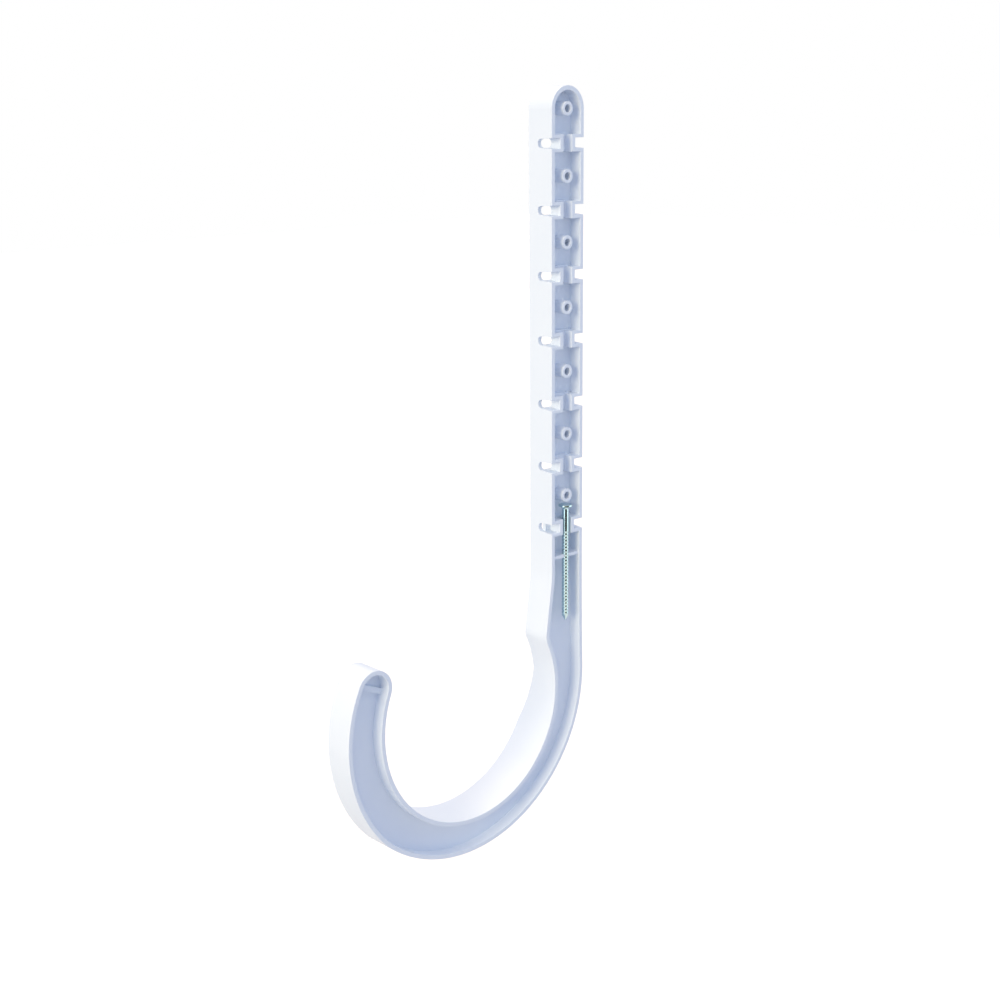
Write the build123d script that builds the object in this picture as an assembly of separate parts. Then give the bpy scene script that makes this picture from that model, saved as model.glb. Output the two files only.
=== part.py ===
from build123d import *

import os
from math import atan2, cos, degrees, pi, radians, sin, tan

# A moulded hook that hangs a drain pipe from a joist, with one spare nail
# clipped inside it. Millimetres, +Z up, the front faces -Y. The origin is the
# axis of the top nail hole, halfway through the hook's depth.

# The pipe and the room left round it
pipe_diameter = 88.9
pipe_clearance = 0.15

# Moulding: how deep the hook is front to back, its rim walls, the web between
# them, how far the web is set back from the front rim, and the rims' broken edges
depth = 12.8
wall = 1.75
web = 1.6
web_set_back = 5.5
edge_break = 0.1

# Shank and its row of nail holes
shank_width = 17.3
nail_pitch = 25.4
nail_hole_count = 7
nail_hole_clearance = 0.3
boss_wall = 1.2

# Slots that let a nail through sideways, behind a bridge in the narrow neck.
# They narrow inwards by a draft. The lowest pair is blind, with the web between.
slot_height = 4.06
slot_draft = 2.5
slot_reach = 4.6
slot_depth = 7.8
slot_drop = 0.25
slot_end_wall = 2.1
shelf_wall = 1.25
bridge_set_back = 3.9
bridge_height = 6.7
bridge_rise = 0.2
side_nail_clearance = 0.1

# Bowl: how wide the moulding is outside the seat's circle at the throat, low
# down on the right, at the elbow low down on the left, and at the arm
throat_width = 15.4
low_width = 13.5
low_angle = 51.0
elbow_width = 17.3
elbow_angle = 44.0
arm_width = 17.8
side_lean = 0.6
side_rise = 4.2

# The arm flares from the seat's circle up to its round tip
flare_angle = 35.0
flare_radius = 47.0
tip_radius = 8.1
tip_angle = 22.1
tip_rib_thickness = 2.2
tip_rib_height = 1.4

# Catch above the seat, opposite the tip, and the long taper that leads to it
# from below the grip rib
catch_angle = 28.2
catch_radius = 8.0
taper_gap = 8.7
taper_blend = 40.0
taper_to_pipe = 46.2

# Saddle: the pipe's seat grows wider behind the hook, fast down to a shoulder
# and then slowly to the bottom
saddle_start = 5.0
saddle_shoulder_drop = 19.0
saddle_shoulder_reach = 5.6
saddle_reach = 6.9

# The spare nail and the rib that grips it
nail_diameter = 2.7
nail_length = 49.4
nail_head_diameter = 5.6
nail_head_thickness = 0.8
nail_neck_height = 1.0
nail_head_edge = 0.15
nail_head_drop = 3.9
nail_axis_set_back = 1.15
nail_point_length = 3.2
nail_point_flat = 0.2
grip_rib_thickness = 1.3
grip_rib_set_back = 0.5
grip_clearance = 0.05

# Places worked out from the sizes above
half_width = shank_width / 2
front = -depth / 2
back = depth / 2
web_back = web_set_back + web
seat_radius = pipe_diameter / 2 + pipe_clearance
hole_levels = [-nail_pitch * i for i in range(nail_hole_count)]
neck_levels = [level - nail_pitch / 2 for level in hole_levels]
slot_levels = [level - slot_drop for level in neck_levels]
grip_level = neck_levels[-1] - nail_pitch / 2
taper_z = grip_level - taper_gap
pipe_x = half_width - throat_width - seat_radius
pipe_z = taper_z - taper_to_pipe
pipe = (pipe_x, pipe_z)
hole_radius = (nail_diameter + nail_hole_clearance) / 2
boss_radius = hole_radius + boss_wall
neck_half = half_width - slot_reach
slope = tan(radians(slot_draft))
slot_end_radius = (slot_height / 2 - slot_depth * slope) / (1 - slope)
bridge_back = slot_depth - nail_diameter - side_nail_clearance
nail_y = front + nail_axis_set_back
nail_top = hole_levels[-1] - nail_head_drop


def on_circle(centre, radius, angle):
    """A point of a circle in the front view, its angle from +X in radians."""
    return (centre[0] + radius * cos(angle), centre[1] + radius * sin(angle))


flare_start = pi + radians(flare_angle)
flare = on_circle(pipe, flare_radius - seat_radius, radians(flare_angle))
tip_side = pi - radians(tip_angle)
tip = on_circle(flare, flare_radius + tip_radius, tip_side)


def slab(face, near, far):
    """A front-view face given thickness, between two depths behind the front rim."""
    plane = Plane.XZ.offset(-(front + far))
    return extrude(plane * face, far - near)


def hook_outline():
    """The hook's silhouette in the front view, without the side slots."""
    side = (half_width + side_lean, pipe_z + side_rise)
    low = on_circle(pipe, seat_radius + low_width, -radians(low_angle))
    elbow = on_circle(pipe, seat_radius + elbow_width, pi + radians(elbow_angle))
    foot = (pipe_x - seat_radius - arm_width, pipe_z)

    # The arm's outer side is the arc that stands upright at the arm's foot and
    # runs into the round of the tip.
    across = tip[0] - foot[0]
    rise = tip[1] - foot[1]
    arm_radius = (across**2 + rise**2 - tip_radius**2) / (2 * (across - tip_radius))
    arm = (foot[0] + arm_radius, foot[1])
    lean = atan2(tip[1] - arm[1], tip[0] - arm[0])
    arm_end = on_circle(arm, arm_radius, lean)
    arm_middle = on_circle(arm, arm_radius, (lean + pi) / 2)
    tip_top = on_circle(tip, tip_radius, (lean + tip_side - pi) / 2)

    # The arm's inner side and the seat
    flare_end = on_circle(flare, flare_radius, tip_side)
    flare_middle = on_circle(flare, flare_radius, (tip_side + flare_start) / 2)
    seat_start = on_circle(pipe, seat_radius, flare_start)
    catch = on_circle(pipe, seat_radius, radians(catch_angle))

    edges = [
        ThreePointArc((-half_width, 0), (0, half_width), (half_width, 0)),
        Line((half_width, 0), (half_width, grip_level)),
        TangentArc((half_width, grip_level), side, tangent=(0, -1)),
        ThreePointArc(side, low, elbow),
        TangentArc(foot, elbow, tangent=(0, -1)),
        ThreePointArc(foot, arm_middle, arm_end),
        ThreePointArc(arm_end, tip_top, flare_end),
        ThreePointArc(flare_end, flare_middle, seat_start),
        ThreePointArc(seat_start, (pipe_x, pipe_z - seat_radius), catch),
        Line(catch, (-half_width, taper_z)),
        Line((-half_width, taper_z), (-half_width, 0)),
    ]
    outline = make_face(edges)
    by_catch = outline.vertices().sort_by_distance(catch)[0]
    outline = fillet(by_catch, catch_radius)
    by_taper = outline.vertices().sort_by_distance((-half_width, taper_z))[0]
    return fillet(by_taper, taper_blend)


def front_plan(inside):
    """The front channel's plan: the inside of the rim walls, narrowed at each neck."""
    width = slot_reach + wall
    for level in slot_levels:
        for side in (-1, 1):
            middle = side * (half_width - width / 2)
            inside -= Pos(middle, level) * Rectangle(width, slot_height + 2 * shelf_wall)
    return inside


def slot_cutter(side, level):
    """One side slot: open at the front rim, narrowing to a half-round end inside the wall."""
    end = front + slot_depth - slot_end_radius
    section = Polygon(
        (front, level - slot_height / 2),
        (end, level - slot_end_radius),
        (end, level + slot_end_radius),
        (front, level + slot_height / 2),
        align=None,
    )
    section += Pos(end, level) * Circle(slot_end_radius)
    cutter = extrude(Plane.YZ * section, slot_reach)
    start = neck_half if side > 0 else -half_width
    return Pos(start, 0, 0) * cutter


def nail_gap(level):
    """The gap behind a bridge, rounded to the nail at its front and open at the back."""
    middle = front + bridge_back + slot_end_radius
    section = Pos(middle, level) * Circle(slot_end_radius)
    section += Pos((middle + back) / 2, level) * Rectangle(back - middle, 2 * slot_end_radius)
    return extrude(Plane.YZ * section, half_width - slot_end_wall, both=True)


def bridges():
    """A front-view rectangle across the shank at each neck."""
    bands = Sketch()
    for level in neck_levels:
        bands += Pos(0, level + bridge_rise) * Rectangle(2 * neck_half, bridge_height)
    return bands


def saddle(outline, inside):
    """The part of the pipe's seat that stands out behind the hook."""
    seat = Pos(*pipe) * Circle(seat_radius + 2 * wall)
    root = back - edge_break
    low = pipe_z - seat_radius - wall
    side_view = Polygon(
        (root, pipe_z + saddle_start),
        (root, low),
        (back + saddle_reach, low),
        (back + saddle_shoulder_reach, pipe_z - saddle_shoulder_drop),
        align=None,
    )
    wedge = Pos(pipe_x, 0, 0) * extrude(Plane.YZ * side_view, seat_radius + 2 * wall, both=True)
    return slab((outline - inside) & seat, depth - edge_break, depth + saddle_reach) & wedge


def grip_rib(outline):
    """The cross rib under the last slot, with the notch that the nail snaps into."""
    band = Pos(0, grip_level) * Rectangle(shank_width, grip_rib_thickness)
    rib = slab(outline & band, grip_rib_set_back, web_set_back)
    groove = Pos(0, nail_y) * Circle(nail_diameter / 2 + grip_clearance)
    return rib - Pos(0, 0, grip_level) * extrude(groove, grip_rib_thickness, both=True)


def tip_rib(outline):
    """The low rib across the arm where the round of the tip begins."""
    band = Pos(*tip) * Rot(0, 0, -tip_angle) * Rectangle(2 * tip_radius, tip_rib_thickness)
    return slab(outline & band, web_set_back - tip_rib_height, web_set_back)


def hook_body():
    outline = hook_outline()
    inside = offset(outline, -wall)

    # Channels in front of the web and behind it
    front_channel = slab(front_plan(inside), 0, web_set_back)
    front_channel -= slab(bridges(), bridge_set_back, web_set_back)
    body = slab(outline, 0, depth) - front_channel
    body -= slab(inside, web_back, depth)

    # Side slots, and the gap behind each bridge that a nail passes through
    for level in slot_levels:
        for side in (-1, 1):
            body -= slot_cutter(side, level)
    for level in slot_levels[:-1]:
        body -= nail_gap(level)

    # The web goes on between the lowest slots
    blind = Pos(0, slot_levels[-1]) * Rectangle(shank_width - 2 * wall, slot_height)
    body += slab(blind, web_set_back, web_back)

    # Ribs and nail bosses
    body += grip_rib(outline)
    body += tip_rib(outline)
    for level in hole_levels:
        body += slab(Pos(0, level) * Circle(boss_radius), 0, depth)
        body -= slab(Pos(0, level) * Circle(hole_radius), 0, depth)

    # Broken edges along the front and back rims, then the saddle
    body = chamfer(body.edges().group_by(Axis.Y)[0], edge_break)
    body = chamfer(body.edges().group_by(Axis.Y)[-1], edge_break)
    return body + saddle(outline, inside)


def nail():
    """A nail, head up, with a cone under its head and a four-sided point."""
    radius = nail_diameter / 2
    head_radius = nail_head_diameter / 2
    under_head = nail_top - nail_head_thickness
    end = nail_top - nail_length
    profile = Polyline(
        (0, nail_top),
        (head_radius - nail_head_edge, nail_top),
        (head_radius, nail_top - nail_head_edge),
        (head_radius, under_head),
        (radius, under_head - nail_neck_height),
        (radius, end),
        (0, end),
        close=True,
    )
    shape = revolve(Plane.XZ * make_face(profile), Axis.Z)

    lean = atan2(radius - nail_point_flat / 2, nail_point_length)
    sides = Pos(0, 0, end + nail_point_length) * Rectangle(nail_diameter, nail_diameter)
    point = extrude(sides, nail_point_length, dir=(0, 0, -1), taper=degrees(lean))
    keep = Pos(0, 0, nail_top) * extrude(Circle(nail_head_diameter), -nail_length + nail_point_length)
    return Pos(0, nail_y, 0) * (shape & (keep + point))


os.makedirs("parts", exist_ok=True)
export_step(hook_body(), "parts/hook_body.step")
export_step(nail(), "parts/nail.step")
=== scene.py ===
from math import atan2, cos, pi, radians, sin

import bmesh
import bpy
from mathutils import Matrix, Vector


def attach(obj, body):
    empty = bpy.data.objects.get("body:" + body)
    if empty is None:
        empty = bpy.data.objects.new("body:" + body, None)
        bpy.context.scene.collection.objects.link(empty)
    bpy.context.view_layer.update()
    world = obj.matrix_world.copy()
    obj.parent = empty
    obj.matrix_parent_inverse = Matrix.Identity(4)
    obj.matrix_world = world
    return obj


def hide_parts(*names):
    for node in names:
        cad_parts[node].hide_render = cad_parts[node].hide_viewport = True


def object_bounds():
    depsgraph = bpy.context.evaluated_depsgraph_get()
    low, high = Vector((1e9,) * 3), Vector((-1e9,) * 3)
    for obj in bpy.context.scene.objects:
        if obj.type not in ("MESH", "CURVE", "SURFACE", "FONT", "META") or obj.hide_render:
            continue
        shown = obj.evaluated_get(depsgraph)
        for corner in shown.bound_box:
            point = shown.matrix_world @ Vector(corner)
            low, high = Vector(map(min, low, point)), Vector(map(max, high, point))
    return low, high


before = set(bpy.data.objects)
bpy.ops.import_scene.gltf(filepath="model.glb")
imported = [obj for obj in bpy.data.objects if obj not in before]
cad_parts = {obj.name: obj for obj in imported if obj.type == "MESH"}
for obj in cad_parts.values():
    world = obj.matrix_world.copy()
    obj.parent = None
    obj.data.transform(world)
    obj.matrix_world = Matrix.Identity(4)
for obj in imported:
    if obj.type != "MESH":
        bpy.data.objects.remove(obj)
cad_low, cad_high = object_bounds()

MM = 0.001


# Finishes

PLASTIC_TINTS = ((0.79, 0.858, 0.95, 1), (0.81, 0.873, 0.96, 1))
PLASTIC_TINT_SPREAD = (0.3, 0.7)
PLASTIC_ROUGHNESS = (0.36, 0.46)
PLASTIC_IOR = 1.49
SKIN_GRAIN = 900.0
SKIN_STRENGTH = 0.05
SKIN_DEPTH = 0.05 * MM
ZINC_TINTS = ((0.44, 0.59, 0.61, 1), (0.60, 0.77, 0.79, 1))
ZINC_TINT_SPREAD = (0.0, 1.0)
ZINC_ROUGHNESS = (0.12, 0.26)


def new_material(name):
    material = bpy.data.materials.new(name)
    material.use_nodes = True
    return material, material.node_tree.nodes, material.node_tree.links


def clouded(nodes, links, scale, detail, tints, spread, roughness):
    """Soft clouds in the piece's own space vary its colour and its gloss; gives back that space."""
    shader = nodes["Principled BSDF"]
    place = nodes.new("ShaderNodeTexCoord").outputs["Object"]
    cloud = nodes.new("ShaderNodeTexNoise")
    cloud.inputs["Scale"].default_value = scale
    cloud.inputs["Detail"].default_value = detail
    links.new(place, cloud.inputs["Vector"])
    tint = nodes.new("ShaderNodeValToRGB")
    for stop, colour, position in zip(tint.color_ramp.elements, tints, spread):
        stop.position = position
        stop.color = colour
    links.new(cloud.outputs["Fac"], tint.inputs["Fac"])
    links.new(tint.outputs["Color"], shader.inputs["Base Color"])
    gloss = nodes.new("ShaderNodeMapRange")
    gloss.inputs["To Min"].default_value, gloss.inputs["To Max"].default_value = roughness
    links.new(cloud.outputs["Fac"], gloss.inputs["Value"])
    links.new(gloss.outputs["Result"], shader.inputs["Roughness"])
    return place


def white_plastic():
    """Smooth white moulded plastic with a faint cool tint and a very fine moulded skin."""
    material, nodes, links = new_material("white_plastic")
    shader = nodes["Principled BSDF"]
    shader.inputs["IOR"].default_value = PLASTIC_IOR
    place = clouded(nodes, links, scale=45.0, detail=3.0, tints=PLASTIC_TINTS,
                    spread=PLASTIC_TINT_SPREAD, roughness=PLASTIC_ROUGHNESS)
    skin = nodes.new("ShaderNodeTexNoise")
    skin.inputs["Scale"].default_value = SKIN_GRAIN
    bump = nodes.new("ShaderNodeBump")
    bump.inputs["Strength"].default_value = SKIN_STRENGTH
    bump.inputs["Distance"].default_value = SKIN_DEPTH
    links.new(place, skin.inputs["Vector"])
    links.new(skin.outputs["Fac"], bump.inputs["Height"])
    links.new(bump.outputs["Normal"], shader.inputs["Normal"])
    return material


def zinc():
    """Bright zinc plating, a little uneven, with a faint green-blue cast."""
    material, nodes, links = new_material("zinc")
    nodes["Principled BSDF"].inputs["Metallic"].default_value = 1.0
    clouded(nodes, links, scale=700.0, detail=4.0, tints=ZINC_TINTS,
            spread=ZINC_TINT_SPREAD, roughness=ZINC_ROUGHNESS)
    return material


def dress(piece, material):
    piece.data.materials.clear()
    piece.data.materials.append(material)


def placed(shape, name):
    """The finished bmesh as an object at the origin."""
    mesh = bpy.data.meshes.new(name)
    shape.to_mesh(mesh)
    shape.free()
    piece = bpy.data.objects.new(name, mesh)
    bpy.context.scene.collection.objects.link(piece)
    return piece


# The nail with its rings, in the place and size of the plain nail

NAIL_TOP = -156.3 * MM
NAIL_Y = -5.25 * MM
NAIL_LENGTH = 49.4 * MM
NAIL_RADIUS = 1.35 * MM
NAIL_TURNS = 48
NAIL_CREASE = radians(9)
HEAD_RADIUS = 2.8 * MM
HEAD_THICKNESS = 0.8 * MM
HEAD_EDGE = 0.15 * MM
NECK_HEIGHT = 1.0 * MM
NECK_FLARE = 0.3 * MM
POINT_LENGTH = 3.2 * MM
POINT_FLAT = 0.2 * MM
POINT_SIDES = 4
SAME_SPOT = 0.002 * MM
ON_CUT = 1e-7

# How far in and down the head's rim is, in widths of its edge, from the flat top to the side
RIM_ROUNDING = ((2, 0.0), (0.6, 0.3), (0, 1))
# The share of the neck's height at which its flare is measured
FLARE_SHARE = 0.55

RING_ROOT = 1.17 * MM
RING_START = 11.2 * MM
RING_PITCH = 1.4 * MM
# Shares of the pitch, counted down from the end of the crest above
ROOT_FROM, ROOT_TO, CREST_FROM = 0.36, 0.42, 0.54
# The rings stop this share of the point's length above the tip
UNRINGED_POINT = 0.5


def nail_profile():
    """Radius and depth below the top of the head, from the middle of the head to the tip."""
    profile = [(0.0, 0.0)]
    profile += [(HEAD_RADIUS - inward * HEAD_EDGE, down * HEAD_EDGE) for inward, down in RIM_ROUNDING]
    profile += [(HEAD_RADIUS, HEAD_THICKNESS - HEAD_EDGE), (HEAD_RADIUS - HEAD_EDGE, HEAD_THICKNESS)]
    profile += [(NAIL_RADIUS + NECK_FLARE, HEAD_THICKNESS + FLARE_SHARE * NECK_HEIGHT)]
    profile += [(NAIL_RADIUS, HEAD_THICKNESS + NECK_HEIGHT), (NAIL_RADIUS, RING_START)]
    depth = RING_START
    while depth + RING_PITCH < NAIL_LENGTH - UNRINGED_POINT * POINT_LENGTH:
        profile += [(RING_ROOT, depth + ROOT_FROM * RING_PITCH), (RING_ROOT, depth + ROOT_TO * RING_PITCH)]
        profile += [(NAIL_RADIUS, depth + CREST_FROM * RING_PITCH), (NAIL_RADIUS, depth + RING_PITCH)]
        depth += RING_PITCH
    profile += [(NAIL_RADIUS, NAIL_LENGTH), (0.0, NAIL_LENGTH)]
    return profile


def cut_point(shape):
    """Flats all round cut the nail's end to its point, and each cut is closed."""
    lean = atan2(NAIL_RADIUS - POINT_FLAT / 2, POINT_LENGTH)
    for side in range(POINT_SIDES):
        turn = side * 2 * pi / POINT_SIDES
        out = Vector((cos(turn) * cos(lean), sin(turn) * cos(lean), -sin(lean)))
        on_flat = Vector((cos(turn) * POINT_FLAT / 2, sin(turn) * POINT_FLAT / 2, -NAIL_LENGTH))
        everything = shape.verts[:] + shape.edges[:] + shape.faces[:]
        cut = bmesh.ops.bisect_plane(shape, geom=everything, dist=ON_CUT, plane_co=on_flat, plane_no=out,
                                     clear_outer=True)
        rim = [part for part in cut["geom_cut"] if isinstance(part, bmesh.types.BMEdge)]
        bmesh.ops.edgeloop_fill(shape, edges=[edge for edge in rim if edge.is_boundary])


def ringed_nail(material):
    """The nail turned from its profile and pointed, which takes the plain nail's place."""
    shape = bmesh.new()
    spots = [shape.verts.new((radius, 0, -depth)) for radius, depth in nail_profile()]
    lines = [shape.edges.new(pair) for pair in zip(spots, spots[1:])]
    bmesh.ops.spin(shape, geom=spots + lines, cent=(0, 0, 0), axis=(0, 0, 1), angle=2 * pi,
                   steps=NAIL_TURNS, use_merge=True)
    bmesh.ops.remove_doubles(shape, verts=shape.verts, dist=SAME_SPOT)
    cut_point(shape)
    bmesh.ops.recalc_face_normals(shape, faces=shape.faces)
    bmesh.ops.translate(shape, vec=(0, NAIL_Y, NAIL_TOP), verts=shape.verts)
    piece = placed(shape, "ringed_nail")
    for face in piece.data.polygons:
        face.use_smooth = True
    piece.data.set_sharp_from_angle(angle=NAIL_CREASE)
    dress(piece, material)
    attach(piece, "root")
    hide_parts("nail")


# Camera, at the photograph's viewing angle

CAMERA_PLACE = Vector((-0.4472, -0.4589, 0.0069))
CAMERA_TURN = radians(42.206)
CAMERA_DIP = radians(14.216)
CAMERA_ROLL = radians(0.487)
CAMERA_LENS = 58.21
CAMERA_SENSOR = 36.0
CAMERA_NEAREST = 0.01


def photo_camera():
    data = bpy.data.cameras.new("camera")
    data.lens = CAMERA_LENS
    data.sensor_width = CAMERA_SENSOR
    data.clip_start = CAMERA_NEAREST
    camera = bpy.data.objects.new("camera", data)
    bpy.context.scene.collection.objects.link(camera)
    turn = Matrix.Rotation(-CAMERA_TURN, 4, "Z") @ Matrix.Rotation(pi / 2 - CAMERA_DIP, 4, "X")
    turn = turn @ Matrix.Rotation(-CAMERA_ROLL, 4, "Z")
    camera.matrix_world = Matrix.Translation(CAMERA_PLACE) @ turn
    bpy.context.scene.camera = camera


# Studio

SKY_COLOUR = (0.99, 1.18, 1.62, 1)
SKY_STRENGTH = 0.48
PLAIN_WHITE = (1.0, 1.0, 1.0, 1)
FLOOR_DROP = 0.35
FLOOR_REACH = 6.0
FLOOR_MATTE = (0.8, 0.8, 0.8, 1)
FLOOR_BOUNCE = (0.48, 0.50, 0.55, 1)
FLOOR_GLOW = (0.32, 0.28, 0.24, 1)
CARD_DISTANCE = 1.2
CARD_HEIGHT = 0.9
CARD_STEPS = 12
CARD_COLOUR = (0.90, 0.98, 1.0, 1)
# Name, first and last degree round the object from its front, and strength
CARDS = (
    ("dim_card", -58, 24, 0.0),
    ("left_card", -98, -60, 2.2),
    ("right_card", 28, 84, 1.7),
)
# Name, direction that the light comes from, its spread in degrees, strength and colour
SUNS = (
    ("left_key", (-0.95, -0.18, 0.24), 26, 0.56, (1.0, 0.855, 0.54)),
    ("top_fill", (-0.22, -0.19, 0.95), 60, 0.24, (1.0, 0.75, 0.40)),
    ("back_fill", (0.10, 0.50, 0.86), 60, 0.29, (1.0, 0.75, 0.40)),
)


def seen_directly(nodes, links):
    """1 for rays from the camera, a mirror or through glass, and 0 for light on surfaces."""
    rays = nodes.new("ShaderNodeLightPath")
    either = nodes.new("ShaderNodeMath")
    either.operation = "MAXIMUM"
    any_of = nodes.new("ShaderNodeMath")
    any_of.operation = "MAXIMUM"
    links.new(rays.outputs["Is Camera Ray"], either.inputs[0])
    links.new(rays.outputs["Is Glossy Ray"], either.inputs[1])
    links.new(either.outputs["Value"], any_of.inputs[0])
    links.new(rays.outputs["Is Transmission Ray"], any_of.inputs[1])
    return any_of.outputs["Value"]


def two_faced(nodes, links, lighting, shown, surface):
    """One shader lights the object, and the other is what is seen."""
    both = nodes.new("ShaderNodeMixShader")
    links.new(seen_directly(nodes, links), both.inputs["Fac"])
    links.new(lighting, both.inputs[1])
    links.new(shown, both.inputs[2])
    links.new(both.outputs["Shader"], surface)


def white_world():
    """The world is plain white to look at, and a softer cool light on the object."""
    world = bpy.data.worlds.new("studio")
    bpy.context.scene.world = world
    world.use_nodes = True
    nodes, links = world.node_tree.nodes, world.node_tree.links
    sky = nodes["Background"]
    sky.inputs["Color"].default_value = SKY_COLOUR
    sky.inputs["Strength"].default_value = SKY_STRENGTH
    white = nodes.new("ShaderNodeBackground")
    white.inputs["Color"].default_value = PLAIN_WHITE
    two_faced(nodes, links, sky.outputs["Background"], white.outputs["Background"],
              nodes["World Output"].inputs["Surface"])


def pale_floor(level):
    """A floor that looks white under these lights, and sends a cooler light back up."""
    shape = bmesh.new()
    bmesh.ops.create_grid(shape, x_segments=1, y_segments=1, size=FLOOR_REACH)
    bmesh.ops.translate(shape, vec=(0, 0, level), verts=shape.verts)
    floor = placed(shape, "floor")
    material, nodes, links = new_material("pale_floor")
    nodes.remove(nodes["Principled BSDF"])
    matte = nodes.new("ShaderNodeBsdfDiffuse")
    matte.inputs["Color"].default_value = FLOOR_MATTE
    bounce = nodes.new("ShaderNodeBsdfDiffuse")
    bounce.inputs["Color"].default_value = FLOOR_BOUNCE
    glow = nodes.new("ShaderNodeEmission")
    glow.inputs["Color"].default_value = FLOOR_GLOW
    lifted = nodes.new("ShaderNodeAddShader")
    links.new(matte.outputs["BSDF"], lifted.inputs[0])
    links.new(glow.outputs["Emission"], lifted.inputs[1])
    two_faced(nodes, links, bounce.outputs["BSDF"], lifted.outputs["Shader"],
              nodes["Material Output"].inputs["Surface"])
    dress(floor, material)


def card(name, floor_level, first, last, strength):
    """A curved card round the object, seen only in mirror-like surfaces, so that metal has contrast."""
    shape = bmesh.new()
    start = radians(first)
    foot = Vector((sin(start) * CARD_DISTANCE, -cos(start) * CARD_DISTANCE, floor_level))
    low = shape.verts.new(foot)
    high = shape.verts.new(foot + Vector((0, 0, CARD_HEIGHT)))
    side = shape.edges.new((low, high))
    bmesh.ops.spin(shape, geom=[low, high, side], cent=(0, 0, 0), axis=(0, 0, 1),
                   angle=radians(last - first), steps=CARD_STEPS)
    piece = placed(shape, name)
    material, nodes, links = new_material(name)
    nodes.remove(nodes["Principled BSDF"])
    glow = nodes.new("ShaderNodeEmission")
    glow.inputs["Color"].default_value = CARD_COLOUR
    glow.inputs["Strength"].default_value = strength
    links.new(glow.outputs["Emission"], nodes["Material Output"].inputs["Surface"])
    dress(piece, material)
    piece.visible_camera = False
    piece.visible_diffuse = False
    piece.visible_shadow = False


def soft_sun(name, towards, spread, strength, colour):
    """A far soft light that shines from one direction."""
    data = bpy.data.lights.new(name, "SUN")
    data.angle = radians(spread)
    data.energy = strength * pi
    data.color = colour
    light = bpy.data.objects.new(name, data)
    bpy.context.scene.collection.objects.link(light)
    light.rotation_euler = Vector(towards).to_track_quat("Z", "Y").to_euler()


def studio():
    bpy.context.scene.view_settings.view_transform = "Standard"
    floor_level = cad_low.z - FLOOR_DROP
    white_world()
    pale_floor(floor_level)
    for name, first, last, strength in CARDS:
        card(name, floor_level, first, last, strength)
    for name, towards, spread, strength, colour in SUNS:
        soft_sun(name, towards, spread, strength, colour)


photo_camera()
studio()
dress(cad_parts["hook_body"], white_plastic())
ringed_nail(zinc())
